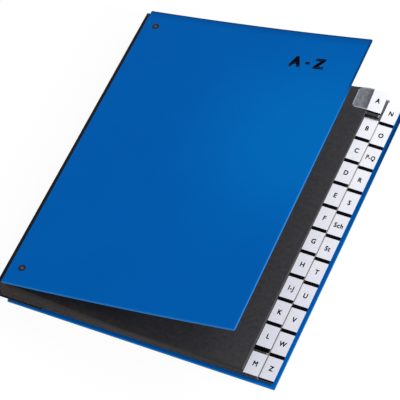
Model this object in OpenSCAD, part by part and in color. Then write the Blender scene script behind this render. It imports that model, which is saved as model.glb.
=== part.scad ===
// Alphabetical desk sorter: two hard covers, an expanding cloth back and card dividers
// whose tabs stand in two columns along the fore-edge.
// X runs from the back to the fore-edge, Y along the back and Z up from the desk.
// The origin lies on the desk, under the middle of the sorter.

/* [Covers] */
// Height of both covers, along the back
cover_h = 340; // [310:1:380]
// Width of the rear cover
rear_w = 253; // [230:1:290]
// Thickness of the cover board
board_t = 2.2; // [1.6:0.1:3.5]
// Radius of the cover corners
corner_r = 1; // [0.5:0.1:8]
// How far the middle of the front cover dips below a straight line between its edges
front_dip = 2.1; // [0.5:0.1:4]
// Angle at which the front cover stands open, halfway along the back
front_open = 12.2; // [0:0.1:60]
// Angle by which the front cover is warped from its near end to its far one
front_warp = 2.4; // [0.2:0.1:4]
// Distance from the front fold to the edge of the front board
front_setback = 4.4; // [0.8:0.1:8]
// Distance kept between the closed front cover and the first column of tabs
front_reveal = 1.4; // [0.4:0.1:10]

/* [Cloth back] */
// Thickness of the cloth
cloth_t = 0.5; // [0.3:0.1:0.8]
// Room between the top divider and the front fold
back_slack = 13.4; // [4:0.2:30]
// How far the back stands out beyond the rear cover
back_reach = 8; // [7:0.5:16]
// Width of the cloth glued inside each cover
cloth_grip = 32; // [26:1:60]
// Film of glue between the cloth and a cover
glue_t = 0.05; // [0.03:0.01:0.1]
// How far the cloth stops short of the covers at each end
cloth_inset = 2; // [0.5:0.5:4.5]
// Air left at each fold of the cloth
fold_clear = 0.15; // [0.1:0.05:0.4]
// Thickness of the guard that ties a divider to the back
guard_t = 0.2; // [0.1:0.02:0.3]

/* [Dividers] */
// Thickness of the divider card
card_t = 0.25; // [0.2:0.01:0.6]
// Air between a label and the next divider
card_clear = 0.07; // [0.05:0.01:0.4]
// Margin between the dividers and the ends of the covers
card_margin = 3.3; // [2:0.1:15]
// Width of the part of a divider that slopes up to the back
slope_w = 102; // [60:1:110]
// Room left above the top divider at the back
root_room = 2.6; // [2:0.1:8]
// Diameter of the viewing holes
view_d = 16; // [8:1:30]
// Distance between neighbouring viewing holes
view_step = 100; // [50:5:120]
// Number of viewing holes in a divider
view_count = 3; // [1:1:3]

/* [Tabs] */
// Width of a column of tabs
tab_w = 13.6; // [10:0.2:20]
// Margin between the outer tabs and the edge of the rear cover
tab_margin = 3.4; // [1:0.2:10]
// Margin between the rows of tabs and the ends of the dividers
row_margin = 1.1; // [0.4:0.1:8]
// Bare card between one label and the next
label_gap = 3.7; // [2:0.1:8]
// Air between one tab and the next in its column
tab_clear = 0.3; // [0.1:0.1:1.5]
// Thickness of a label
label_t = 0.06; // [0.04:0.01:0.2]

/* [Rivets] */
// Diameter of the rivet head
rivet_head_d = 6; // [5:0.5:10]
// Thickness of the rivet head
rivet_head_t = 0.5; // [0.3:0.1:0.8]
// Outer diameter of the rivet tube
rivet_tube_d = 3.4; // [2.6:0.1:4.4]
// Wall of the rivet tube
rivet_wall = 0.5; // [0.3:0.1:1]
// Diameter of the rolled end
rivet_roll_d = 5.2; // [4.6:0.2:8]
// Thickness of the rolled end
rivet_roll_t = 0.35; // [0.2:0.05:0.6]
// Air around the rivet in its hole
rivet_clear = 0.05; // [0.02:0.01:0.2]
// Air between the rolled end and the lowest divider
roll_clear = 0.25; // [0.1:0.05:0.6]
// Distance from the rivet to the edge of its cover at the back
rivet_edge = 12.1; // [8:0.1:20]
// Distance from the rivet to the end of its cover
rivet_end = 18.8; // [10:0.1:60]

/* [Hidden] */
// Letters on the tabs, from the top divider to the lowest one
letters = ["a", "b", "c", "d", "e", "f", "g", "h", "ij", "k", "l", "m",
           "n", "o", "pq", "r", "s", "sch", "st", "t", "u", "v", "w", "z"];
columns = 2;
rows = len(letters) / columns;
last = len(letters) - 1;

cover_blue = "#0A5DAA";
cloth_black = "#1E2022";
card_black = "#38383B";
label_white = "#F2F1F4";
rivet_grey = "#5A5856";

// Facets of round parts, sides of a viewing hole, longest step along the bow of the front cover,
// and steps along its warp
round_sides = 32;
view_sides = 24;
bow_step = 15;
warp_steps = 12;
// Overshoot that carries a cut past the face that it opens
cut = 1;

// Places across the sorter
total_w = cloth_t / 2 + back_reach + rear_w;
back_x = cloth_t / 2 - total_w / 2;
rear_left = back_x + back_reach;
card_w = rear_w - columns * tab_w - tab_margin;
front_w = back_reach + card_w - front_setback - front_reveal;
front_span = front_setback + front_w;
// More than the bow, the warp and the board's thickness take up above or below the plane of the front cover
front_rise = front_dip + board_t + glue_t + cloth_t + front_span * sin(front_warp);

// Heights above the desk
card_pitch = card_t + label_t + card_clear;
cloth_z = board_t + glue_t;
stack_z = cloth_z + cloth_t + rivet_roll_t + roll_clear;
stack_top = stack_z + last * card_pitch + card_t;
rear_fold_z = cloth_z + cloth_t / 2;
front_fold_z = stack_top + back_slack;
fold_gap = cloth_t / 2 + fold_clear;
// How far the top divider rises to the back. The lowest one stays flat and the others fan out between them
root_rise = back_slack - root_room;
// Board below the sunk rivet head, and the cloth, that a rivet holds together
rivet_grip = board_t - rivet_head_t + glue_t + cloth_t;

// Sizes along the back
cloth_h = cover_h - 2 * cloth_inset;
card_h = cover_h - 2 * card_margin;
row_pitch = (card_h - 2 * row_margin) / rows;
label_h = row_pitch - label_gap;
rivet_y = cover_h / 2 - rivet_end;

function column(i) = floor(i / rows);
function row(i) = i % rows;
function card_z(i) = stack_z + (last - i) * card_pitch;
function root_z(i) = card_z(i) + root_rise * (last - i) / last;
function card_right(i) = rear_left + card_w + column(i) * tab_w;

// Top edge of a label. The rows are centred on the divider, but the first column is drawn out
// at its two ends, so that its first and last tabs lie flush with the corners of the card.
function row_top(i) = (rows * row_pitch - label_gap) / 2 - row(i) * row_pitch;
function label_top(i) =
    column(i) > 0 ? row_top(i) :
    row(i) == 0 ? card_h / 2 :
    row(i) == rows - 1 ? label_h - card_h / 2 :
    row_top(i);
function tab_bottom(i) =
    row(i) == rows - 1 ? -card_h / 2 : label_top(i + 1) + tab_clear;

// Dip of the bowed front cover at a distance u from its fold: a parabola, nil at both edges
function dip(u) = -front_dip * (1 - pow(2 * u / front_span - 1, 2));

divider_names = [for (s = letters) str("divider_", s)];
label_names = [for (s = letters) str("tab_label_", s)];

// Rectangle with round corners, its left edge on the Y axis and its middle at y = 0
module round_rect(w, h, r) {
    translate([r, -h / 2]) square([w - 2 * r, h]);
    translate([0, r - h / 2]) square([w, h - 2 * r]);
    for (x = [r, w - r], y = [r - h / 2, h / 2 - r])
        translate([x, y]) circle(r, $fn = round_sides);
}

// Tubular rivet: head above z = 0, tube through board and cloth, rolled end below them
module rivet() {
    bore_r = rivet_tube_d / 2 - rivet_wall;
    head_r = rivet_head_d / 2;
    edge = rivet_head_t / 2;
    rotate_extrude($fn = round_sides)
        polygon([
            [bore_r, -rivet_grip - rivet_roll_t], [rivet_roll_d / 2, -rivet_grip - rivet_roll_t],
            [rivet_roll_d / 2, -rivet_grip], [rivet_tube_d / 2, -rivet_grip],
            [rivet_tube_d / 2, 0], [head_r, 0],
            [head_r, edge], [head_r - edge, rivet_head_t],
            [bore_r + edge, rivet_head_t], [bore_r, edge]
        ]);
}

// Hole for the tube and sunk seat for the head, in the rivet's own frame
module rivet_seat() {
    translate([0, 0, -rivet_grip - cut])
        cylinder(d = rivet_tube_d + 2 * rivet_clear, h = rivet_grip + 2 * cut, $fn = round_sides);
    cylinder(d = rivet_head_d + 2 * rivet_clear, h = rivet_head_t + cut, $fn = round_sides);
}

// Puts children at both rivet places of a cover, x from the Y axis, turned with the warp of the cover
module at_rivets(x, warp) {
    for (y = [-rivet_y, rivet_y])
        rotate([0, -warp * y / cover_h, 0]) translate([x, y, 0]) children();
}

// Rivets of the rear cover, with their heads sunk in its underside
module at_rear_rivets() {
    at_rivets(rear_left + rivet_edge, 0)
        translate([0, 0, rivet_head_t]) rotate([180, 0, 0]) children();
}

// Carries children from the front cover's own frame, u along X from its fold, to the open pose
module on_front() {
    translate([back_x, 0, front_fold_z]) rotate([0, -front_open, 0]) children();
}

// Bowed sheet of the front cover, from u0 to u1 along it and from n0 to n1 through it. Its warp winds it
// about the fold, so that the far end stands further open than the near one.
module bowed_sheet(u0, u1, n0, n1, h) {
    steps = ceil((u1 - u0) / bow_step);
    path = [for (i = [0 : steps]) u0 + (u1 - u0) * i / steps];
    back = [for (i = [steps : -1 : 0]) path[i]];
    warp = front_warp * h / cover_h;
    rotate([90, 0, 0])
        linear_extrude(height = h, center = true, twist = warp, slices = warp_steps)
            rotate(warp / 2)
                polygon(concat([for (u = path) [u, n0 + dip(u)]], [for (u = back) [u, n1 + dip(u)]]));
}

// Rivets of the front cover, square to its bow, with their heads sunk in its outer face
module at_front_rivets() {
    u = front_setback + rivet_edge;
    slope = atan(4 * front_dip / front_span * (2 * u / front_span - 1));
    at_rivets(u, front_warp)
        translate([0, 0, dip(u)]) rotate([0, -slope, 0])
            translate([0, 0, rivet_grip - cloth_t / 2]) children();
}

module rear_cover() {
    color(cover_blue)
        difference() {
            translate([rear_left, 0, 0])
                linear_extrude(height = board_t) round_rect(rear_w, cover_h, corner_r);
            at_rear_rivets() rivet_seat();
        }
}

module rear_hinge_cloth() {
    cloth_left = back_x + fold_gap;
    color(cloth_black)
        difference() {
            translate([cloth_left, -cloth_h / 2, cloth_z])
                cube([rear_left + cloth_grip - cloth_left, cloth_h, cloth_t]);
            at_rear_rivets() rivet_seat();
        }
}

module rear_rivets() {
    color(rivet_grey) at_rear_rivets() rivet();
}

module spine_cloth() {
    low = rear_fold_z + fold_gap;
    color(cloth_black)
        translate([back_x - cloth_t / 2, -cloth_h / 2, low])
            cube([cloth_t, cloth_h, front_fold_z - fold_gap - low]);
}

module leaf_guards() {
    left = back_x + cloth_t / 2;
    color(cloth_black)
        for (i = [0 : last])
            translate([left, -card_h / 2, root_z(i) + (card_t - guard_t) / 2])
                cube([rear_left - card_clear - left, card_h, guard_t]);
}

module front_cover() {
    inner = cloth_t / 2 + glue_t;
    color(cover_blue)
        on_front()
            difference() {
                intersection() {
                    bowed_sheet(front_setback - cut, front_span + cut,
                                inner, inner + board_t, cover_h + 2 * cut);
                    translate([front_setback, 0, -front_rise])
                        linear_extrude(height = 2 * front_rise)
                            round_rect(front_w, cover_h, corner_r);
                }
                at_front_rivets() rivet_seat();
            }
}

module front_hinge_cloth() {
    color(cloth_black)
        on_front()
            difference() {
                bowed_sheet(fold_gap, front_setback + cloth_grip, -cloth_t / 2, cloth_t / 2, cloth_h);
                at_front_rivets() rivet_seat();
            }
}

module front_rivets() {
    color(rivet_grey) on_front() at_front_rivets() rivet();
}

module viewing_holes() {
    for (j = [0 : view_count - 1])
        translate([rear_left + card_w / 2, (j - (view_count - 1) / 2) * view_step])
            polygon([for (s = [0 : view_sides - 1])
                view_d / 2 * [cos(360 * s / view_sides), sin(360 * s / view_sides)]]);
}

// Part of a divider that slopes up from its flat part to the back
module divider_slope(i) {
    low = card_z(i);
    high = root_z(i);
    rotate([90, 0, 0])
        linear_extrude(height = card_h, center = true)
            polygon([
                [rear_left, high], [rear_left + slope_w, low],
                [rear_left + slope_w, low + card_t], [rear_left, high + card_t]
            ]);
}

module divider(i) {
    left = rear_left + slope_w;
    right = card_right(i);
    low = tab_bottom(i);
    color(card_black) {
        divider_slope(i);
        translate([0, 0, card_z(i)])
            linear_extrude(height = card_t)
                difference() {
                    union() {
                        translate([left, -card_h / 2]) square([right - left, card_h]);
                        translate([right - tab_w, low]) square([2 * tab_w, label_top(i) - low]);
                    }
                    viewing_holes();
                }
    }
}

// Label folded round the outer edge of a tab, with a face on each side of the card
module tab_label(i) {
    right = card_right(i);
    low = label_top(i) - label_h;
    color(label_white)
        translate([right, low, card_z(i)])
            difference() {
                translate([0, 0, -label_t]) cube([tab_w + label_t, label_h, card_t + 2 * label_t]);
                translate([-cut, -cut, 0]) cube([tab_w + cut, label_h + 2 * cut, card_t]);
            }
}

rear_cover();
rear_hinge_cloth();
rear_rivets();
spine_cloth();
leaf_guards();
front_cover();
front_hinge_cloth();
front_rivets();
for (i = [0 : last]) {
    divider(i);
    tab_label(i);
}
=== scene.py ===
import bmesh
import bpy
import numpy as np
from mathutils import Matrix


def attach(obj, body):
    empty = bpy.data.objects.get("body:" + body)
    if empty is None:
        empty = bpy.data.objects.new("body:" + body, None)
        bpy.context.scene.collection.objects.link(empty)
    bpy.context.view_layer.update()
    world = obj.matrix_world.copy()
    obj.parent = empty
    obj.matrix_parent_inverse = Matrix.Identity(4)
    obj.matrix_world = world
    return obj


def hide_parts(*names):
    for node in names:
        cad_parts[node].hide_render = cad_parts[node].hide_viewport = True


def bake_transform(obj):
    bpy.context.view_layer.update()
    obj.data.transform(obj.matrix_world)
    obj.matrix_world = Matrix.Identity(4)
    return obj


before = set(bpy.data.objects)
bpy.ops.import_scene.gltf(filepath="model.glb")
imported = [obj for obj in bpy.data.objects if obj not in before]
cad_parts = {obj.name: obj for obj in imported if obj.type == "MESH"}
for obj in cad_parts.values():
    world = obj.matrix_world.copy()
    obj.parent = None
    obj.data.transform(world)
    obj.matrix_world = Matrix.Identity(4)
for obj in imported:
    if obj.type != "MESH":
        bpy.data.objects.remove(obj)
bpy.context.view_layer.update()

# Camera: a long lens looks down on the sorter from beyond its near right corner. Its place and focal
# length come from a fit to the edges of the covers and the corners of the tabs. Sizes are in mm.
MM = 0.001
image_px, focal_px, distance = 400, 2836.6, 2561.9
elevation, azimuth, roll = np.radians((52.161, 22.872, -0.792))
target = np.array((-6.141, -4.901, 5.0))


def stance(side, rise, back, place):
    """Matrix of a camera or a lamp: its side, its rise and the way back from what it looks at are the
    columns, and its place in metres is the last one."""
    return Matrix(np.column_stack((side, rise, back, place)).tolist() + [[0.0, 0.0, 0.0, 1.0]])


back = np.array((np.sin(azimuth) * np.cos(elevation),
                 -np.cos(azimuth) * np.cos(elevation),
                 np.sin(elevation)))
level = np.array((np.cos(azimuth), np.sin(azimuth), 0.0))
rise = np.cross(back, level)
side = np.cos(roll) * level + np.sin(roll) * rise
rise = np.cos(roll) * rise - np.sin(roll) * level
lens = bpy.data.cameras.new("camera")
lens.sensor_width = 36.0
lens.lens = focal_px / image_px * lens.sensor_width
lens.clip_end = 20.0
camera = bpy.data.objects.new("camera", lens)
camera.matrix_world = stance(side, rise, back, (target + distance * back) * MM)
bpy.context.scene.collection.objects.link(camera)
bpy.context.scene.camera = camera
bpy.context.scene.view_settings.view_transform = "Standard"

# Rear cover: a grey board wrapped in blue covering paper, which is turned in over the edges and glued
# down. It is a little out of square at its far right corner, painted shade darkens its bare margin beside
# the tabs, and a lining sheet of the same paper is pasted inside, a little short of the edges.
rear_left, rear_w, cover_h, board_t = -122.375, 253.0, 340.0, 2.2
corner_r, edge_r, rivet_proud = 1.0, 0.7, 0.1
out_of_square = (0.7, 1.8, 0.0)
# The painted shade on the margin is even over the first of these lengths and fades over the second. Its
# strength is the third halfway along the cover, and grows by 1 over the fourth towards the far end.
margin_shade_plain, margin_shade_fade, margin_shade_middle, margin_shade_change = 1.8, 4.5, 0.29, 700.0
lining_t, lining_inset, lining_gap, lining_edge = 0.12, 4.0, 0.8, 0.05
cloth_grip = 32.0


def linear(code):
    """Linear light of an sRGB hex value: a channel c is c / 12.92 when it is dark, and otherwise
    ((c + 0.055) / 1.055) ** 2.4."""
    c = np.array([int(code[i:i + 2], 16) for i in (1, 3, 5)]) / 255
    return (*np.where(c <= 0.04045, c / 12.92, ((c + 0.055) / 1.055) ** 2.4).tolist(), 1.0)


def add(tree, kind, settings=(), inputs=()):
    """Adds a node, sets its own settings, and gives each named input a value or a link from a socket."""
    made = tree.nodes.new(kind)
    for name, value in dict(settings).items():
        setattr(made, name, value)
    for name, value in dict(inputs).items():
        if isinstance(value, bpy.types.NodeSocket):
            tree.links.new(value, made.inputs[name])
        else:
            made.inputs[name].default_value = value
    return made


def surface(name, inputs):
    """A new material whose one shader has these constant inputs: the material, its tree and its shader."""
    material = bpy.data.materials.new(name)
    material.use_nodes = True
    shader = material.node_tree.nodes["Principled BSDF"]
    for socket, value in inputs.items():
        shader.inputs[socket].default_value = value
    return material, material.node_tree, shader


def grid_faces(rows, columns):
    """Quads of a grid of points, each joined to the next along its row and along its column."""
    at = np.arange(rows * columns).reshape(rows, columns)
    return np.stack((at[:-1, :-1], at[1:, :-1], at[1:, 1:], at[:-1, 1:]), -1).reshape(-1, 4)


def board_skin(width, height, thick, edge, corner, pitch=8.0):
    """Closed skin of a flat board about the origin, u across, y along and n through it: points and faces.
    Grid lines run in from every edge: up half the wall, round a quarter circle of radius edge, then over the
    flat. A point's n is that of its outermost line. Beyond the centre of a corner's circle a point keeps its
    larger offset from that centre as its distance from it, which rounds the square corner."""
    turn = np.linspace(0, np.pi / 2, 6)
    # Three lines close behind the rounding keep the flat from shading round.
    rim = edge + np.array((0.15, 0.6, 1.5))
    wall = thick / 2 - edge + edge * np.sin(turn)
    inset = np.concatenate(([0.0], edge * (1 - np.cos(turn)), rim))
    height_at = np.concatenate(([0.0], wall, np.full(len(rim), thick / 2)))
    order = np.arange(len(inset))

    def lines(size):
        """Places of the grid lines over one size, and each line's order in from its edge."""
        flat = np.linspace(inset[-1], size - inset[-1], max(2, int(size / pitch)))[1:-1]
        at = np.concatenate((inset, flat, size - inset[::-1])) - size / 2
        return at, np.concatenate((order, np.full(len(flat), order[-1]), order[::-1]))

    (u, u_order), (y, y_order) = lines(width), lines(height)
    u, y = np.meshgrid(u, y, indexing="ij")
    n = height_at[np.minimum(u_order[:, None], y_order[None, :])]
    over = np.stack((np.abs(u) - width / 2 + corner, np.abs(y) - height / 2 + corner))
    drawn_in = np.where((over > 0).all(0), over.max(0) / np.maximum(np.hypot(*over), 1e-9), 1.0)
    u = np.sign(u) * (np.abs(u) + over[0] * (drawn_in - 1))
    y = np.sign(y) * (np.abs(y) + over[1] * (drawn_in - 1))
    faces = grid_faces(*u.shape)
    points = np.concatenate([np.stack((u, y, s * n), -1).reshape(-1, 3) for s in (1, -1)])
    return points, np.concatenate((faces, faces[:, ::-1] + u.size))


def fall(distance, reach):
    """Share that falls in a straight line from 1 at distance 0 to 0 at reach, held between the two."""
    return np.clip(1 - distance / reach, 0, 1)


def edge_wear_and_painted_light(points, width, height):
    """Wear and painted light on a board's edges: 1 on the near edge and the near half of the fore-edge,
    which hands rub pale and a painted highlight lightens, and -1 on the far edge and the far end of the
    fore-edge, which painted shade darkens. Each falls to nil a short way in, and the two lengths of the
    fore-edge fade out along it."""
    pale_in, fore_dark_in, far_dark_in = 0.9, 1.6, 2.8
    pale_from, pale_fade, dark_from, dark_fade = -60, 150, 120, 25
    u, y, _ = points.T
    pale = np.maximum(fall(width / 2 - u, pale_in) * fall(y - pale_from, pale_fade),
                      fall(height / 2 + y, pale_in))
    dark = np.maximum(fall(width / 2 - u, fore_dark_in) * fall(dark_from - y, dark_fade),
                      fall(height / 2 - y, far_dark_in))
    return pale - dark


def piece(name, points, faces, material, closed=True, smooth=True, **fields):
    """A mesh object at the origin, from points in mm. Fields are values at the points, kept as attributes.
    A closed skin has its doubled points merged and its faces turned outwards."""
    mesh = bpy.data.meshes.new(name)
    mesh.from_pydata((np.asarray(points) * MM).tolist(), [], [list(map(int, f)) for f in faces])
    for field, values in fields.items():
        values = np.asarray(values, np.float32).ravel()
        mesh.attributes.new(field, "FLOAT", "POINT").data.foreach_set("value", values)
    if closed:
        work = bmesh.new()
        work.from_mesh(mesh)
        bmesh.ops.remove_doubles(work, verts=work.verts, dist=0.0005 * MM)
        bmesh.ops.recalc_face_normals(work, faces=work.faces)
        work.to_mesh(mesh)
        work.free()
    mesh.polygons.foreach_set("use_smooth", np.full(len(mesh.polygons), smooth))
    mesh.materials.append(material)
    made = bpy.data.objects.new(name, mesh)
    bpy.context.scene.collection.objects.link(made)
    return made


# Coated covering paper, printed solid blue and embossed with a fine grain. The satin coat gives a soft
# sheen and the tone drifts a little over the sheet. A painted highlight lightens one large patch. The
# near turned edges are rubbed pale with a painted highlight, and painted shade darkens the far ones.
covering, tree, shader = surface("coated_covering_paper", {
    "IOR": 1.45, "Specular IOR Level": 0.04, "Specular Tint": linear("#0060FF")})
spot = add(tree, "ShaderNodeTexCoord").outputs["Object"]
drift = add(tree, "ShaderNodeTexNoise", inputs={
    "Vector": spot, "Scale": 1 / (70 * MM), "Detail": 3.0}).outputs["Fac"]
# Painted highlight: a large soft patch of the covering is lighter.
apart = add(tree, "ShaderNodeVectorMath", {"operation": "DISTANCE"}, {
    0: spot, 1: (75 * MM, 45 * MM, 75 * MM)}).outputs["Value"]
painted_highlight = add(tree, "ShaderNodeMapRange", {"interpolation_type": "SMOOTHSTEP"}, {
    "Value": apart, "From Min": 10 * MM, "From Max": 150 * MM,
    "To Min": 0.7, "To Max": 0.0}).outputs["Result"]
grain = add(tree, "ShaderNodeTexNoise", inputs={
    "Vector": spot, "Scale": 1 / (0.9 * MM), "Detail": 2.0}).outputs["Fac"]
# The edge attribute holds wear with a painted highlight where it is pale, and painted shade where it is dark.
wear_highlight_and_shade = add(tree, "ShaderNodeAttribute", {"attribute_name": "rubbed"}).outputs["Fac"]
rubbed = add(tree, "ShaderNodeMapRange", inputs={"Value": wear_highlight_and_shade, "To Max": 0.4}).outputs["Result"]
dark = add(tree, "ShaderNodeMapRange", inputs={
    "Value": wear_highlight_and_shade, "From Min": 0.0, "From Max": -0.7, "To Max": 0.85}).outputs["Result"]
tone = add(tree, "ShaderNodeMix", {"data_type": "RGBA"}, {
    0: drift, 6: linear("#0054A4"), 7: linear("#005CAB")}).outputs[2]
for share, other in ((painted_highlight, "#006BB8"), (rubbed, "#3D8CCB"), (dark, "#00244E")):
    tone = add(tree, "ShaderNodeMix", {"data_type": "RGBA"}, {
        0: share, 6: tone, 7: linear(other)}).outputs[2]
tree.links.new(tone, shader.inputs["Base Color"])
tree.links.new(add(tree, "ShaderNodeMapRange", inputs={
    "Value": grain, "To Min": 0.42, "To Max": 0.6}).outputs["Result"], shader.inputs["Roughness"])
tree.links.new(add(tree, "ShaderNodeBump", inputs={
    "Strength": 0.25, "Distance": 0.04 * MM, "Height": grain}).outputs["Normal"], shader.inputs["Normal"])

points, faces = board_skin(rear_w, cover_h, board_t - rivet_proud, edge_r, corner_r)
u, y, n = points.T
# Painted shade on the top face beside the fore-edge, darker towards the far end.
margin_shade = fall(rear_w / 2 - u - margin_shade_plain, margin_shade_fade) * (margin_shade_middle + y / margin_shade_change) * (n > 0)
wear_highlight_and_shade = edge_wear_and_painted_light(points, rear_w, cover_h) - margin_shade
toward_corner = (u / rear_w + 0.5) * np.clip(2 * y / cover_h, 0, 1)
points = points - np.outer(toward_corner, out_of_square)
points += (rear_left + rear_w / 2, 0, (board_t + rivet_proud) / 2)
rear_board = piece("rear_cover_board", points, faces, covering, rubbed=wear_highlight_and_shade)
lining_from, lining_to = rear_left + cloth_grip + lining_gap, rear_left + rear_w - lining_inset
lining_h = cover_h - 2 * lining_inset
points, faces = board_skin(lining_to - lining_from, lining_h, lining_t, lining_edge, corner_r, pitch=20.0)
points += ((lining_from + lining_to) / 2, 0, board_t + lining_t / 2)
rear_lining = piece("rear_cover_lining", points, faces, covering)
for made in (rear_board, rear_lining):
    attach(made, "rear_cover")
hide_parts("rear_cover")

# Rear rivets: two semi-tubular steel rivets, bronzed dark, clench the cloth to the rear board. The heads
# are sunk in its underside up to their rings and the rolled ends lie on the cloth inside.
rivet_end, rivet_edge, rivet_seat, rivet_grip = 18.8, 12.1, 0.5, 2.25
cup_mid, cup_r, ring_r, ring_half, seat_r, shank_r = 0.7, 1.3, 2.45, 1.05, 2.9, 1.7
roll_r, roll_half, roll_drop, bore_r, bore_top = 2.1, 0.5, 0.35, 1.2, -1.4
rear_cup, rear_crest = 0.42, 0.5


def rivet_skin(cup_h, crest, steps=40):
    """Rivet about its own axis, seat of the head at height 0: a profile of radius r and height h carried
    round, x = r cos t and y = r sin t. The head's ring is half an ellipse that rises from cup_h to crest,
    and the rolled end is half an ellipse that hangs below the cloth."""
    t = np.linspace(0, np.pi, 13)
    cup = [(0.0, cup_h), (cup_mid, cup_h), (cup_r, cup_h)]
    ring = np.stack((ring_r - ring_half * np.cos(t), cup_h + (crest - cup_h) * np.sin(t)), 1)
    shank = [(seat_r, 0.0), (shank_r, 0.0), (shank_r, -rivet_grip)]
    roll = np.stack((roll_r + roll_half * np.cos(t), -rivet_grip - roll_drop * np.sin(t)), 1)
    bore = [(bore_r, -rivet_grip), (bore_r - 0.1, bore_top - 0.2),
            (bore_r / 2, bore_top - 0.05), (0.0, bore_top)]
    r, h = np.concatenate((cup, ring, shank, roll, bore)).T
    a = np.linspace(0, 2 * np.pi, steps + 1)
    points = np.stack((np.outer(r, np.cos(a)), np.outer(r, np.sin(a)), np.outer(h, np.ones_like(a))), -1)
    return points.reshape(-1, 3), grid_faces(len(r), len(a)), np.repeat(r, len(a))


# Bronzed steel: a dark oxide that hides the metal, browner and brighter in the cup of the head.
bronzed, tree, shader = surface("bronzed_steel", {"Metallic": 0.4, "Specular IOR Level": 0.3})
spot = add(tree, "ShaderNodeTexCoord").outputs["Object"]
radius = add(tree, "ShaderNodeAttribute", {"attribute_name": "radius"}).outputs["Fac"]
cup = add(tree, "ShaderNodeMapRange", inputs={
    "Value": radius, "From Min": 1.0, "From Max": 1.7, "To Min": 1.0, "To Max": 0.0}).outputs["Result"]
mottle = add(tree, "ShaderNodeTexNoise", inputs={
    "Vector": spot, "Scale": 1 / (0.8 * MM), "Detail": 3.0}).outputs["Fac"]
oxide = add(tree, "ShaderNodeMix", {"data_type": "RGBA"}, {
    0: mottle, 6: linear("#060610"), 7: linear("#11111C")}).outputs[2]
tree.links.new(add(tree, "ShaderNodeMix", {"data_type": "RGBA"}, {
    0: cup, 6: oxide, 7: linear("#57484D")}).outputs[2], shader.inputs["Base Color"])
tree.links.new(add(tree, "ShaderNodeMapRange", inputs={
    "Value": mottle, "To Min": 0.28, "To Max": 0.5}).outputs["Result"], shader.inputs["Roughness"])

for end, y in (("near", rivet_end - cover_h / 2), ("far", cover_h / 2 - rivet_end)):
    points, faces, radii = rivet_skin(rear_cup, rear_crest)
    points = points * (1, -1, -1) + (rear_left + rivet_edge, y, rivet_seat)
    rivet = piece("rear_rivet_" + end, points, faces, bronzed, radius=radii)
    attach(rivet, "rear_cover")
    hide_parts("rear_rivets")

# Cloth back: one strip of black book cloth glued inside both covers, folded up at the rear cover and over
# at the front one. It is made as two pieces that meet halfway up the back, one for each fold.
cloth_t, glue_t, cloth_h, bend = 0.5, 0.05, 336.0, 0.9
back_x, rear_fold_z, front_fold_z = -130.375, 2.5, 25.74
front_open, front_warp = np.radians((12.2, 2.4))
front_setback, front_w, front_dip = 4.4, 224.6, 2.1
front_span = front_setback + front_w
back_middle = (rear_fold_z + front_fold_z) / 2


def on_front(u, n):
    """X and Z of a point on the open front cover: u out from its fold and n through it, turned about the
    fold by front_open."""
    return np.stack((back_x + u * np.cos(front_open) - n * np.sin(front_open),
                     front_fold_z + u * np.sin(front_open) + n * np.cos(front_open)), -1)


def wound(points):
    """Warp of the front cover: a point turns about the fold by front_warp * y / cover_h, so the far end
    opens more."""
    x, y, z = points.T
    turn, u, n = front_warp * y / cover_h, x - back_x, z - front_fold_z
    return np.stack((back_x + u * np.cos(turn) - n * np.sin(turn), y,
                     front_fold_z + u * np.sin(turn) + n * np.cos(turn)), 1)


def dip(u):
    """Bow of the front cover: a parabola, nil at the fold and the fore-edge and front_dip low halfway."""
    return -front_dip * (1 - (2 * u / front_span - 1) ** 2)


def fold(a, corner, b):
    """Bend in a folded sheet: the quadratic curve that leaves a towards the corner and reaches b from it."""
    t = np.linspace(0, 1, 9)[:, None]
    return (1 - t) ** 2 * np.array(a) + 2 * t * (1 - t) * np.array(corner) + t ** 2 * np.array(b)


def run(a, b, steps):
    """Evenly spaced points from a to b, both left out."""
    return np.linspace(a, b, steps + 1)[1:-1]


def strip_skin(path, thick, length, pitch=12.0):
    """Closed thin strip: a path in X and Z, moved half its thickness to each side along its normals and
    carried along Y. Gives its points and faces, and each point's distance along the path and the strip."""
    tangent = np.gradient(path, axis=0)
    normal = np.stack((-tangent[:, 1], tangent[:, 0]), 1) / np.linalg.norm(tangent, axis=1)[:, None]
    loop = np.concatenate((path + normal * thick / 2, (path - normal * thick / 2)[::-1]))
    along = np.concatenate(([0.0], np.cumsum(np.linalg.norm(np.diff(path, axis=0), axis=1))))
    y = np.linspace(-length / 2, length / 2, int(length / pitch) + 1)
    loop, along = np.vstack((loop, loop[:1])), np.concatenate((along, along[::-1], along[:1]))
    points = np.stack((np.repeat(loop[:, :1], len(y), 1),
                       np.tile(y, (len(loop), 1)),
                       np.repeat(loop[:, 1:], len(y), 1)), -1)
    # Each end is closed by quads from one side of the path to the other.
    k, m = np.arange(len(path) - 1), 2 * len(path) - 1
    ends = [np.stack((k, k + 1, m - 1 - k, m - k), 1) * len(y) + j for j in (0, len(y) - 1)]
    faces = np.concatenate((grid_faces(len(loop), len(y)), *ends))
    return points.reshape(-1, 3), faces, np.repeat(along, len(y)), np.tile(y, len(loop))


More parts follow.
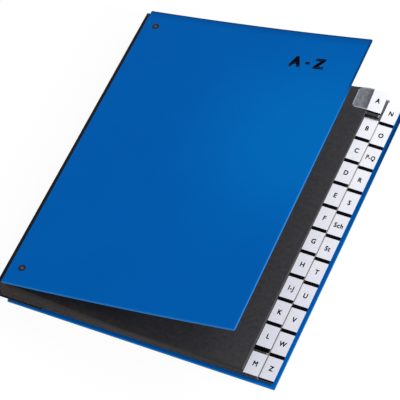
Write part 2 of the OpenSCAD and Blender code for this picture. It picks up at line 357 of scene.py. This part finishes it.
# Book cloth: plain-woven cotton, dyed black and filled, so it is matt with a faint weave, and greyer on the
# worn guards. A painted highlight makes its near cut end greyer too. The threads are drawn 0.7 mm apart,
# coarser than the real ones, to show at this size.
thread_gap = 0.7
book_cloth, tree, shader = surface("black_book_cloth", {"Specular IOR Level": 0.12, "Sheen Weight": 0.03})
waves = []
for way in ("along", "across"):
    at = add(tree, "ShaderNodeAttribute", {"attribute_name": way}).outputs["Fac"]
    phase = add(tree, "ShaderNodeMath", {"operation": "MULTIPLY"}, {0: at, 1: np.pi / thread_gap}).outputs[0]
    waves.append(add(tree, "ShaderNodeMath", {"operation": "SINE"}, {0: phase}).outputs[0])
weave = add(tree, "ShaderNodeMath", {"operation": "MULTIPLY"}, {0: waves[0], 1: waves[1]}).outputs[0]
over = add(tree, "ShaderNodeMapRange", inputs={
    "Value": weave, "From Min": -1.0, "From Max": 1.0}).outputs["Result"]
spot = add(tree, "ShaderNodeTexCoord").outputs["Object"]
fade = add(tree, "ShaderNodeTexNoise", inputs={
    "Vector": spot, "Scale": 1 / (25 * MM), "Detail": 4.0}).outputs["Fac"]
dye = add(tree, "ShaderNodeMix", {"data_type": "RGBA"}, {
    0: fade, 6: linear("#090A0B"), 7: linear("#131416")}).outputs[2]
normal = add(tree, "ShaderNodeTexCoord").outputs["Normal"]
# Painted highlight: cloth faces turned to the near side are paler.
near_end = add(tree, "ShaderNodeMapRange", inputs={
    "Value": add(tree, "ShaderNodeSeparateXYZ", inputs={"Vector": normal}).outputs["Y"],
    "From Min": -0.7, "From Max": -0.9}).outputs["Result"]
worn = add(tree, "ShaderNodeAttribute", {"attribute_name": "worn"}).outputs["Fac"]
worn = add(tree, "ShaderNodeMath", {"operation": "MAXIMUM"}, {0: near_end, 1: worn}).outputs[0]
dye = add(tree, "ShaderNodeMix", {"data_type": "RGBA"}, {0: worn, 6: dye, 7: linear("#5A5251")}).outputs[2]
threads = add(tree, "ShaderNodeMix", {"data_type": "RGBA"}, {
    0: over, 6: linear("#9A9A9A"), 7: linear("#FFFFFF")}).outputs[2]
tree.links.new(add(tree, "ShaderNodeMix", {"data_type": "RGBA", "blend_type": "MULTIPLY"}, {
    0: 0.5, 6: dye, 7: threads}).outputs[2], shader.inputs["Base Color"])
tree.links.new(add(tree, "ShaderNodeMapRange", inputs={
    "Value": over, "To Min": 0.85, "To Max": 0.68}).outputs["Result"], shader.inputs["Roughness"])
tree.links.new(add(tree, "ShaderNodeBump", inputs={
    "Strength": 0.5, "Distance": 0.08 * MM, "Height": over}).outputs["Normal"], shader.inputs["Normal"])

rear_path = np.concatenate((
    [(rear_left + cloth_grip, rear_fold_z)],
    run((rear_left + cloth_grip, rear_fold_z), (back_x + bend, rear_fold_z), 10),
    fold((back_x + bend, rear_fold_z), (back_x, rear_fold_z), (back_x, rear_fold_z + bend)),
    run((back_x, rear_fold_z + bend), (back_x, back_middle), 5),
    [(back_x, back_middle)]))
u = np.linspace(bend, front_setback + cloth_grip, 12)
front_path = np.concatenate((
    [(back_x, back_middle)],
    run((back_x, back_middle), (back_x, front_fold_z - bend), 5),
    fold((back_x, front_fold_z - bend), (back_x, front_fold_z), on_front(bend, dip(bend))),
    on_front(u, dip(u))[1:]))
for name, path, bodies, start, end, nodes in (
        ("back_cloth_rear", rear_path, ("rear_cover", "spine"),
         (back_x + bend, rear_fold_z), (back_x, rear_fold_z + bend), ("rear_hinge_cloth", "spine_cloth")),
        ("back_cloth_front", front_path, ("spine", "front_cover"),
         (back_x, front_fold_z - bend), on_front(bend, dip(bend)), ("front_hinge_cloth", "spine_cloth"))):
    points, faces, along, across = strip_skin(path, cloth_t, cloth_h)
    in_cover = (points[:, 2:] > front_fold_z - bend) & (points[:, :1] > back_x + cloth_t)
    points = np.where(in_cover, wound(points), points)
    cloth = piece(name, points, faces, book_cloth, along=along, across=across)
    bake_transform(cloth)
    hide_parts(*nodes)

# Leaf guards: a narrow strip of thin black cloth ties each divider to the back and lets it turn. They are
# spread over the height of the back, so the dividers slope up to them.
letters = "a b c d e f g h ij k l m n o pq r s sch st t u v w z".split()
stack_z, card_t, card_pitch, card_h, root_rise = 3.35, 0.25, 0.38, 333.4, 10.8
guard_t, guard_gap, guard_bend = 0.2, 0.05, 5.0
card_z = stack_z + card_pitch * np.arange(len(letters))[::-1]
root_z = card_z + root_rise * np.linspace(1, 0, len(letters))
for letter, z in zip(letters, root_z + card_t / 2):
    path = np.linspace((back_x + cloth_t / 2, z), (rear_left - guard_gap, z), 9)
    points, faces, along, across = strip_skin(path, guard_t, card_h, pitch=30.0)
    guard = piece("leaf_guard_" + letter, points, faces, book_cloth, smooth=False, along=along, across=across,
                  worn=np.ones(len(points)))
    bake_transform(guard)
    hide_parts("leaf_guards")

# Dividers: sheets of card dyed black right through, die-cut with one tab each and three viewing holes.
# They lie flat beside the tabs and slope up to their guards over slope_w.
card_right, tab_w, slope_w = 100.025, 13.6, 102.0
# Pale lines near the fore-edges, rubbing with a painted highlight on the narrow cards and a painted
# highlight in the shade under the left tabs on the wide ones: place across, tone, and the distances over
# which the tone fades out.
rims = ((card_right - 0.4, "#66666A", 0.2, 0.9), (card_right + tab_w - 0.7, "#B4B4B9", 0.7, 1.3))

# Through-dyed card: matt and very dark grey, with short fibres and a faint mottle from rolling. Near the
# fore-edges, the narrow cards are rubbed pale under a painted highlight, and a brighter painted highlight
# lightens the wide ones. The cut edges show browner fibres at the ends, and painted shade darkens those at
# the sides. The ends vary in streaks from leaf to leaf, and painted shade darkens them on the upper leaves.
card, tree, shader = surface("through_dyed_card", {"Specular IOR Level": 0.3})
spot = add(tree, "ShaderNodeTexCoord").outputs["Object"]
mottle = add(tree, "ShaderNodeTexNoise", inputs={
    "Vector": spot, "Scale": 1 / (4 * MM), "Detail": 5.0}).outputs["Fac"]
drawn_out = add(tree, "ShaderNodeMapping", inputs={
    "Vector": spot, "Scale": (1.0, 0.25, 1.0)}).outputs["Vector"]
fibre = add(tree, "ShaderNodeTexNoise", inputs={
    "Vector": drawn_out, "Scale": 1 / (0.7 * MM), "Detail": 3.0, "Distortion": 0.4}).outputs["Fac"]
shade = add(tree, "ShaderNodeMix", {"data_type": "RGBA"}, {
    0: mottle, 6: linear("#18171A"), 7: linear("#3F3E40")}).outputs[2]
across, _, height = add(tree, "ShaderNodeSeparateXYZ", inputs={"Vector": spot}).outputs
# Each pale line is a painted highlight, with rubbing too on the narrow cards.
for rim_at, rim_tone, rim_from, rim_to in rims:
    aside = add(tree, "ShaderNodeMath", {"operation": "SUBTRACT"}, {0: across, 1: rim_at * MM}).outputs[0]
    aside = add(tree, "ShaderNodeMath", {"operation": "ABSOLUTE"}, {0: aside}).outputs[0]
    rubbed = add(tree, "ShaderNodeMapRange", inputs={
        "Value": aside, "From Min": rim_from * MM, "From Max": rim_to * MM,
        "To Min": 0.8, "To Max": 0.0}).outputs["Result"]
    shade = add(tree, "ShaderNodeMix", {"data_type": "RGBA"}, {
        0: rubbed, 6: shade, 7: linear(rim_tone)}).outputs[2]
normal = add(tree, "ShaderNodeTexCoord").outputs["Normal"]
facing = add(tree, "ShaderNodeSeparateXYZ", inputs={"Vector": normal}).outputs
lying = add(tree, "ShaderNodeMath", {"operation": "ABSOLUTE"}, {0: facing["Z"]}).outputs[0]
cut_edge = add(tree, "ShaderNodeMapRange", inputs={
    "Value": lying, "From Min": 0.3, "From Max": 0.6, "To Min": 1.0, "To Max": 0.0}).outputs["Result"]
# Painted light and shade: cut edges at the ends show the lit fibre colour, those at the sides a dark tone.
ends = add(tree, "ShaderNodeMath", {"operation": "ABSOLUTE"}, {0: facing["Y"]}).outputs[0]
outward = add(tree, "ShaderNodeMapRange", inputs={
    "Value": across, "From Min": -120 * MM, "From Max": 100 * MM}).outputs["Result"]
fibres = add(tree, "ShaderNodeMix", {"data_type": "RGBA"}, {
    0: outward, 6: linear("#5A524D"), 7: linear("#3A3736")}).outputs[2]
leaf_step = add(tree, "ShaderNodeMapRange", inputs={
    "Value": across, "From Min": (rear_left + slope_w) * MM, "From Max": rear_left * MM,
    "To Min": card_pitch * MM,
    "To Max": (card_pitch + root_rise / (len(letters) - 1)) * MM}).outputs["Result"]
above = add(tree, "ShaderNodeMath", {"operation": "SUBTRACT"}, {0: height, 1: stack_z * MM}).outputs[0]
leaf_number = add(tree, "ShaderNodeMath", {"operation": "DIVIDE"}, {0: above, 1: leaf_step}).outputs[0]
streak = add(tree, "ShaderNodeTexNoise", {"noise_dimensions": "1D"}, {
    "W": leaf_number, "Scale": 0.5, "Detail": 2.0}).outputs["Fac"]
# Streaks vary at random; the second pass is painted shade, darker on the upper leaves' ends.
for value, low, high, dull, bright in ((streak, 0.35, 0.65, 0.6, 1.4), (leaf_number, 22.0, 8.0, 0.45, 1.25)):
    strength = add(tree, "ShaderNodeMapRange", {"interpolation_type": "SMOOTHSTEP"}, {
        "Value": value, "From Min": low, "From Max": high,
        "To Min": dull, "To Max": bright}).outputs["Result"]
    fibres = add(tree, "ShaderNodeMix", {"data_type": "RGBA", "blend_type": "MULTIPLY"}, {
        0: 1.0, 6: fibres, 7: strength}).outputs[2]
fibres = add(tree, "ShaderNodeMix", {"data_type": "RGBA"}, {
    0: ends, 6: linear("#201E1D"), 7: fibres}).outputs[2]
shade = add(tree, "ShaderNodeMix", {"data_type": "RGBA"}, {0: cut_edge, 6: shade, 7: fibres}).outputs[2]
flecks = add(tree, "ShaderNodeMix", {"data_type": "RGBA"}, {
    0: fibre, 6: linear("#6A6460"), 7: linear("#A8A6A4")}).outputs[2]
tree.links.new(add(tree, "ShaderNodeMix", {"data_type": "RGBA", "blend_type": "OVERLAY"}, {
    0: 0.4, 6: shade, 7: flecks}).outputs[2], shader.inputs["Base Color"])
tree.links.new(add(tree, "ShaderNodeMapRange", inputs={
    "Value": fibre, "To Min": 0.6, "To Max": 0.85}).outputs["Result"], shader.inputs["Roughness"])
tree.links.new(add(tree, "ShaderNodeBump", inputs={
    "Strength": 0.3, "Distance": 0.03 * MM, "Height": fibre}).outputs["Normal"], shader.inputs["Normal"])
for letter in letters[1:]:
    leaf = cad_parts["divider_" + letter]
    leaf.data.materials.clear()
    leaf.data.materials.append(card)

# Top divider: its far corner, which is handled most, has curled up with the A tab. It is made from the flat
# solid, cut into strips and lifted.
curl_from, curl_to, curl_up, curl_in, curl_cuts = (74.0, 85.0), (card_right, card_h / 2), 5.2, 1.3, 29


def curled(points):
    """Curl of the top divider's far corner, in mm: a point rises by curl_up, and draws in by curl_in, times a
    smooth step across the sheet, 3 s s - 2 s s s, and times the square of its way along the sheet."""
    s, t = np.clip((points[:, :2] - curl_from) / np.subtract(curl_to, curl_from), 0, 1).T
    return points + np.outer(s * s * (3 - 2 * s) * t * t, (-curl_in, 0.0, curl_up))


def curled_piece(name, node, material):
    """A curled copy of a solid's mesh as a new piece, after cuts across it where it bends."""
    work = bmesh.new()
    work.from_mesh(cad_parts[node].data)
    work.transform(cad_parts[node].matrix_world)
    for axis in (0, 1):
        for cut in np.linspace(curl_from[axis], curl_to[axis], curl_cuts + 1)[:-1]:
            bmesh.ops.bisect_plane(work, geom=work.verts[:] + work.edges[:] + work.faces[:],
                                   plane_co=[cut * MM] * 3, plane_no=np.eye(3)[axis].tolist())
    flat = bpy.data.meshes.new("flat")
    work.to_mesh(flat)
    work.free()
    co = np.empty(3 * len(flat.vertices), np.float32)
    flat.vertices.foreach_get("co", co)
    points = curled(co.reshape(-1, 3).astype(float) / MM)
    made = piece(name, points, [list(f.vertices) for f in flat.polygons], material, smooth=False)
    bpy.data.meshes.remove(flat)
    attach(made, "divider_a")
    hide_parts(node)
    return made


curled_piece("top_divider", "divider_a", card)

# Tab labels: printed paper under clear film, folded round the outer edge of each tab and glued to both
# faces. White coated paper: very smooth, with soft reflections from the film, and greyer to the near end
# with painted shade.
paper, tree, shader = surface("laminated_label_paper", {"IOR": 1.48, "Specular IOR Level": 0.35})
spot = add(tree, "ShaderNodeTexCoord").outputs["Object"]
pulp = add(tree, "ShaderNodeTexNoise", inputs={
    "Vector": spot, "Scale": 1 / (3 * MM), "Detail": 4.0}).outputs["Fac"]
# Painted shade: the labels grow greyer towards the near end.
near_end_shade = add(tree, "ShaderNodeMapRange", inputs={
    "Value": add(tree, "ShaderNodeSeparateXYZ", inputs={"Vector": spot}).outputs["Y"],
    "From Min": card_h / 2 * MM, "From Max": -card_h / 2 * MM}).outputs["Result"]
white = add(tree, "ShaderNodeMix", {"data_type": "RGBA"}, {
    0: pulp, 6: linear("#E9E8EC"), 7: linear("#F3F2F5")}).outputs[2]
grey = add(tree, "ShaderNodeMix", {"data_type": "RGBA"}, {
    0: pulp, 6: linear("#C8C9D2"), 7: linear("#D6D7E0")}).outputs[2]
tree.links.new(add(tree, "ShaderNodeMix", {"data_type": "RGBA"}, {
    0: near_end_shade, 6: white, 7: grey}).outputs[2], shader.inputs["Base Color"])
tree.links.new(add(tree, "ShaderNodeMapRange", inputs={
    "Value": pulp, "To Min": 0.3, "To Max": 0.42}).outputs["Result"], shader.inputs["Roughness"])
for letter in letters[1:]:
    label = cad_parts["tab_label_" + letter]
    label.data.materials.clear()
    label.data.materials.append(paper)
curled_piece("top_tab_label", "tab_label_a", paper)

# Tab films: the clear film runs on from each label on to the card beside it, on both faces, and ends in
# two round corners. Over black card it looks grey, and its cut edge catches the light. The film of N reaches
# the far edge of its card and runs on under the B tab.
label_h, row_pitch, rows, label_t = 23.9, 27.6, 12, 0.06
film_w, film_t, film_under, film_edge, film_corner = 15.5, 0.03, 3.5, 0.012, 4.2
film_on, film_short, fine_pitch, plain_pitch = 6.0, 0.05, 0.9, 6.0
film, tree, shader = surface("clear_film_on_card", {"IOR": 1.5, "Specular IOR Level": 0.5})
spot = add(tree, "ShaderNodeTexCoord").outputs["Object"]
haze = add(tree, "ShaderNodeTexNoise", inputs={
    "Vector": spot, "Scale": 1 / (3 * MM), "Detail": 4.0}).outputs["Fac"]
inset = add(tree, "ShaderNodeAttribute", {"attribute_name": "inset"}).outputs["Fac"]
rim = add(tree, "ShaderNodeMapRange", inputs={
    "Value": inset, "From Min": 0.2, "From Max": 1.6, "To Min": 0.9, "To Max": 0.0}).outputs["Result"]
grey = add(tree, "ShaderNodeMix", {"data_type": "RGBA"}, {
    0: haze, 6: linear("#3C3D43"), 7: linear("#94959C")}).outputs[2]
# Painted shade darkens the film next to the label.
close = add(tree, "ShaderNodeMapRange", inputs={
    "Value": add(tree, "ShaderNodeAttribute", {"attribute_name": "reach"}).outputs["Fac"],
    "From Min": 8.5, "From Max": film_w, "To Max": 0.85}).outputs["Result"]
grey = add(tree, "ShaderNodeMix", {"data_type": "RGBA"}, {0: close, 6: grey, 7: linear("#2E2F32")}).outputs[2]
tree.links.new(add(tree, "ShaderNodeMix", {"data_type": "RGBA"}, {
    0: rim, 6: grey, 7: linear("#B6B7BC")}).outputs[2], shader.inputs["Base Color"])
tree.links.new(add(tree, "ShaderNodeMapRange", inputs={
    "Value": haze, "To Min": 0.22, "To Max": 0.34}).outputs["Result"], shader.inputs["Roughness"])
column, row = np.divmod(np.arange(len(letters)), rows)
label_top = (rows * row_pitch - (row_pitch - label_h)) / 2 - row * row_pitch
label_top = np.where((column == 0) & (row == 0), card_h / 2, label_top)
label_top = np.where((column == 0) & (row == rows - 1), label_h - card_h / 2, label_top)
label_left = card_right + column * tab_w
for letter, z, left, top in zip(letters, card_z, label_left, label_top):
    near, far = top - label_h, top
    if letter == "n":
        near, far = near - film_on, card_h / 2 - film_short
    film_h = far - near
    # The film of A curls and that of N is cut to shape, so both have a finer grid.
    pitch = fine_pitch if letter in ("a", "n") else plain_pitch
    points, faces = board_skin(film_w + film_under, film_h, film_t, film_edge, film_corner, pitch)
    reach = (film_w + film_under) / 2 + points[:, 0]
    insets = np.minimum(reach, film_h / 2 - np.abs(points[:, 1]))
    points += (left + (film_under - film_w) / 2, (near + far) / 2, 0)
    points[:, 1] = np.where(points[:, 0] > left, np.clip(points[:, 1], top - label_h, top), points[:, 1])
    faces = np.concatenate((faces, faces + len(points)))
    points = np.concatenate((points + (0, 0, z + card_t + film_t / 2), points + (0, 0, z - film_t / 2)))
    points = curled(points) if letter == "a" else points
    insets, reach = np.tile((insets, reach), 2)
    patch = piece("tab_film_" + letter, points, faces, film, inset=insets, reach=reach)
    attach(patch, "divider_" + letter)

# Tab printing: black letters in the middle of both faces of each label, and black bars printed on the bare
# card between one label and the next. Below A two thin bars of painted shadow stand for the one bar, L's bar
# is short of the M label, and Z has a thin one, partly its black card margin and partly painted shadow.
cap_h, type_w, text_w, ink_t, tab_heavier = 5.0, 0.8, 8.6, 0.012, 0.05
bar_lap, bar_above_b, bar_thin, bar_below_l, letter_a_up = 0.3, 1.5, 1.8, 4.8, 0.6
bar_to = np.concatenate((label_top[1:] + bar_lap, [0.0]))


def lettering(text, heavier):
    """Flat letters with their middle at the origin, as points and faces, in units of a capital's height.
    They are struck four times, moved by heavier both sideways and up or down, which thickens the strokes."""
    outlines = []
    for body in ("H", text):
        curve = bpy.data.curves.new("type", "FONT")
        curve.body, curve.resolution_u, curve.space_character = body, 4, 1.12
        typed = bpy.data.objects.new("type", curve)
        bpy.context.scene.collection.objects.link(typed)
        flat = bpy.data.meshes.new_from_object(typed.evaluated_get(bpy.context.evaluated_depsgraph_get()))
        co = np.empty(3 * len(flat.vertices), np.float32)
        flat.vertices.foreach_get("co", co)
        outlines.append((co.reshape(-1, 3)[:, :2].astype(float), [list(f.vertices) for f in flat.polygons]))
        bpy.data.objects.remove(typed)
        bpy.data.curves.remove(curve)
        bpy.data.meshes.remove(flat)
    (capital, _), (co, faces) = outlines
    low, high = capital[:, 1].min(), capital[:, 1].max()
    middle = np.array(((co[:, 0].min() + co[:, 0].max()) / 2, (low + high) / 2))
    co = (co - middle) / (high - low)
    strikes = heavier * np.array(((-1, -1), (1, -1), (1, 1), (-1, 1)))
    faces = [[k + i * len(co) for k in f] for i in range(len(strikes)) for f in faces]
    return np.concatenate(co + strikes[:, None]), faces


# Printing ink: a thin black film, nearly matt, with a faint uneven density.
ink, tree, shader = surface("black_printing_ink", {"Specular IOR Level": 0.02})
spot = add(tree, "ShaderNodeTexCoord").outputs["Object"]
density = add(tree, "ShaderNodeTexNoise", inputs={
    "Vector": spot, "Scale": 1 / (1.5 * MM), "Detail": 2.0}).outputs["Fac"]
tree.links.new(add(tree, "ShaderNodeMix", {"data_type": "RGBA"}, {
    0: density, 6: linear("#010102"), 7: linear("#060607")}).outputs[2], shader.inputs["Base Color"])
tree.links.new(add(tree, "ShaderNodeMapRange", inputs={
    "Value": density, "To Min": 0.4, "To Max": 0.55}).outputs["Result"], shader.inputs["Roughness"])
for i, letter in enumerate(letters):
    text = letter.capitalize() if letter in ("sch", "st") else "-".join(letter.upper())
    type_co, type_faces = lettering(text, tab_heavier)
    full_w = cap_h * type_w * np.ptp(type_co[:, 0])
    type_co *= (cap_h * type_w * min(1.0, text_w / full_w), cap_h)
    low = label_top[i] - label_h
    bars = [] if row[i] == rows - 1 else [(bar_to[i], low)]
    # A's two thin bars are painted shadow at the edges of the bare card below its label.
    if letter == "a":
        bars = [(bar_to[i], bar_to[i] + bar_above_b), (low - bar_thin, low)]
    if letter == "l":
        bars = [(low - bar_below_l, low)]
    # Z's thin bar is partly its black card margin and partly painted shadow.
    if letter == "z":
        bars = [(low - bar_thin, low)]
    bar_co = np.array([(x, y) for y0, y1 in bars for x, y in (
        (0, y0), (tab_w, y0), (tab_w, y1), (0, y1))]).reshape(-1, 2) + (label_left[i], 0)
    bar_faces = np.arange(len(bar_co)).reshape(-1, 4)
    middle = (label_left[i] + tab_w / 2, label_top[i] - label_h / 2 + (letter_a_up if letter == "a" else 0.0))
    points, faces = [], []
    for up, base in ((1, card_z[i] + card_t), (-1, card_z[i])):
        for co, its_faces, height in (
                (type_co * (up, 1) + middle, type_faces, label_t + ink_t), (bar_co, bar_faces, ink_t)):
            start = sum(map(len, points))
            points.append(np.column_stack((co, np.full(len(co), base + up * height))))
            # The letters below are a mirror image, which turns their faces. The bars are turned here.
            turned = -1 if up < 0 and co is bar_co else 1
            faces += [[start + k for k in f[::turned]] for f in its_faces]
    points = curled(np.concatenate(points)) if letter == "a" else np.concatenate(points)
    printing = piece("tab_print_" + letter, points, faces, ink, closed=False, smooth=False)
    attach(printing, "divider_" + letter)

# Front cover: a board like the rear one, but narrower, so that both columns of tabs stay in view. It bows
# a little hollow, as boards do when the paper on one face has shrunk, and has a lining sheet inside. Its
# fore-edge is out at the far end and in at the near end by fore_skew.
fore_skew = 0.7


def place_on_front(points):
    """Carries points u, y, n of the flat front cover, n from the cloth's middle, on to its bow and to the
    open pose."""
    u, y, n = points.T
    x, z = on_front(u, n + dip(u)).T
    return wound(np.stack((x, y, z), 1))


points, faces = board_skin(front_w, cover_h, board_t, edge_r, corner_r)
# Its edges are rubbed pale with a painted highlight and darkened with painted shade, as on the rear cover.
wear_highlight_and_shade = edge_wear_and_painted_light(points, front_w, cover_h)
points[:, 0] += fore_skew * (points[:, 0] / front_w + 0.5) * 2 * points[:, 1] / cover_h
front_inner = cloth_t / 2 + glue_t
points = place_on_front(points + (front_setback + front_w / 2, 0, front_inner + board_t / 2))
front_board = piece("front_cover_board", points, faces, covering, rubbed=wear_highlight_and_shade)
lining_from, lining_to = front_setback + cloth_grip + lining_gap, front_span - lining_inset
points, faces = board_skin(lining_to - lining_from, lining_h, lining_t, lining_edge, corner_r, pitch=12.0)
points = place_on_front(points + ((lining_from + lining_to) / 2, 0, front_inner - lining_t / 2))
front_lining = piece("front_cover_lining", points, faces, covering)
for made in (front_board, front_lining):
    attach(made, "front_cover")
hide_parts("front_cover")

# Front rivets: two more of the bronzed steel rivets. Their heads are set in the outer face of the front
# cover near the back, and their rolled ends clench the cloth inside it.
front_cup, front_crest = 0.56, 0.72
u = front_setback + rivet_edge
slope = np.arctan(4 * front_dip / front_span * (2 * u / front_span - 1))
seat = rivet_grip - cloth_t / 2
for end, y in (("near", rivet_end - cover_h / 2), ("far", cover_h / 2 - rivet_end)):
    points, faces, radii = rivet_skin(front_cup, front_crest)
    du, dn = points[:, 0], points[:, 2] + seat
    x, z = on_front(u + du * np.cos(slope) - dn * np.sin(slope),
                    dip(u) + du * np.sin(slope) + dn * np.cos(slope)).T
    points = wound(np.stack((x, points[:, 1] + y, z), 1))
    rivet = piece("front_rivet_" + end, points, faces, bronzed, radius=radii)
    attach(rivet, "front_cover")
    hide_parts("front_rivets")

# Cover printing: the range of the index, A - Z, in heavy type. It is black ink printed on the covering paper
# near the far corner of the front cover.
cover_heavier = 0.08
points, faces = [], []
for text, left, right, low, high in (("A", 161.8, 172.9, 126.6, 139.7),
                                     ("-", 177.0, 181.4, 131.0, 133.9),
                                     ("Z", 185.2, 196.2, 126.8, 139.6)):
    co, type_faces = lettering(text, cover_heavier)
    size = co.max(0) - co.min(0)
    co = (co - co.min(0)) / size * (right - left, high - low) + (left, low)
    start = sum(map(len, points))
    points.append(np.column_stack((co, np.full(len(co), front_inner + board_t + ink_t))))
    faces += [[start + k for k in f] for f in type_faces]
points = place_on_front(np.concatenate(points))
cover_print = piece("cover_print", points, faces, ink, closed=False, smooth=False)
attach(cover_print, "front_cover")

# Studio: a plain white floor, a white surround and three soft lamps, at the far right, the near side and the
# right, where a smaller one lights the dividers under the cover. The floor looks white to the camera and
# keeps a faint shadow.
floor_half, floor_drop, floor_glow, fill_light = 4000, 0.1, 0.94, 0.55
# Name of each lamp, its place and size in metres, and its power in watts.
softboxes = (("far_softbox", (0.8, 0.8, 1.3), 1.0, 15.0),
             ("near_softbox", (0.5, -2.4, 1.1), 1.0, 14.0),
             ("right_softbox", (1.95, -0.35, 1.08), 0.3, 20.0))


def seen(tree):
    """Share that is 1 for a ray from the camera, or for one that gloss or glass has sent on, and else 0."""
    ray = add(tree, "ShaderNodeLightPath").outputs
    sent_on = add(tree, "ShaderNodeMath", {"operation": "MAXIMUM"}, {
        0: ray["Is Glossy Ray"], 1: ray["Is Transmission Ray"]}).outputs[0]
    return add(tree, "ShaderNodeMath", {"operation": "MAXIMUM"}, {
        0: ray["Is Camera Ray"], 1: sent_on}).outputs[0]


ground, tree, shader = surface("studio_floor", {
    "Roughness": 0.9, "Specular IOR Level": 0.0, "Base Color": linear("#F4F4F4")})
share = add(tree, "ShaderNodeMath", {"operation": "MULTIPLY"}, {0: seen(tree), 1: floor_glow}).outputs[0]
glow = add(tree, "ShaderNodeEmission", inputs={"Color": (1, 1, 1, 1), "Strength": 1.0}).outputs["Emission"]
tree.links.new(add(tree, "ShaderNodeMixShader", inputs={
    0: share, 1: shader.outputs["BSDF"], 2: glow}).outputs[0],
    tree.nodes["Material Output"].inputs["Surface"])
edge = np.linspace(-floor_half, floor_half, 3)
x, y = np.meshgrid(edge, edge, indexing="ij")
points = np.stack((x, y, np.full_like(x, -floor_drop)), -1).reshape(-1, 3)
floor = piece("floor", points, grid_faces(3, 3), ground, closed=False)

world = bpy.data.worlds.new("studio")
bpy.context.scene.world = world
world.use_nodes = True
tree = world.node_tree
fill = add(tree, "ShaderNodeBackground", inputs={"Color": (1, 1, 1, 1), "Strength": fill_light}).outputs[0]
plain = add(tree, "ShaderNodeBackground", inputs={"Color": (1, 1, 1, 1), "Strength": 1.0}).outputs[0]
tree.links.new(add(tree, "ShaderNodeMixShader", inputs={0: seen(tree), 1: fill, 2: plain}).outputs[0],
               tree.nodes["World Output"].inputs["Surface"])

for name, place, size, power in softboxes:
    lamp = bpy.data.lights.new(name, "AREA")
    lamp.shape, lamp.size, lamp.energy = "SQUARE", size, power
    softbox = bpy.data.objects.new(name, lamp)
    toward = np.array(place) / np.linalg.norm(place)
    level = np.cross((0, 0, 1), toward)
    level /= np.linalg.norm(level)
    softbox.matrix_world = stance(level, np.cross(toward, level), toward, place)
    bpy.context.scene.collection.objects.link(softbox)
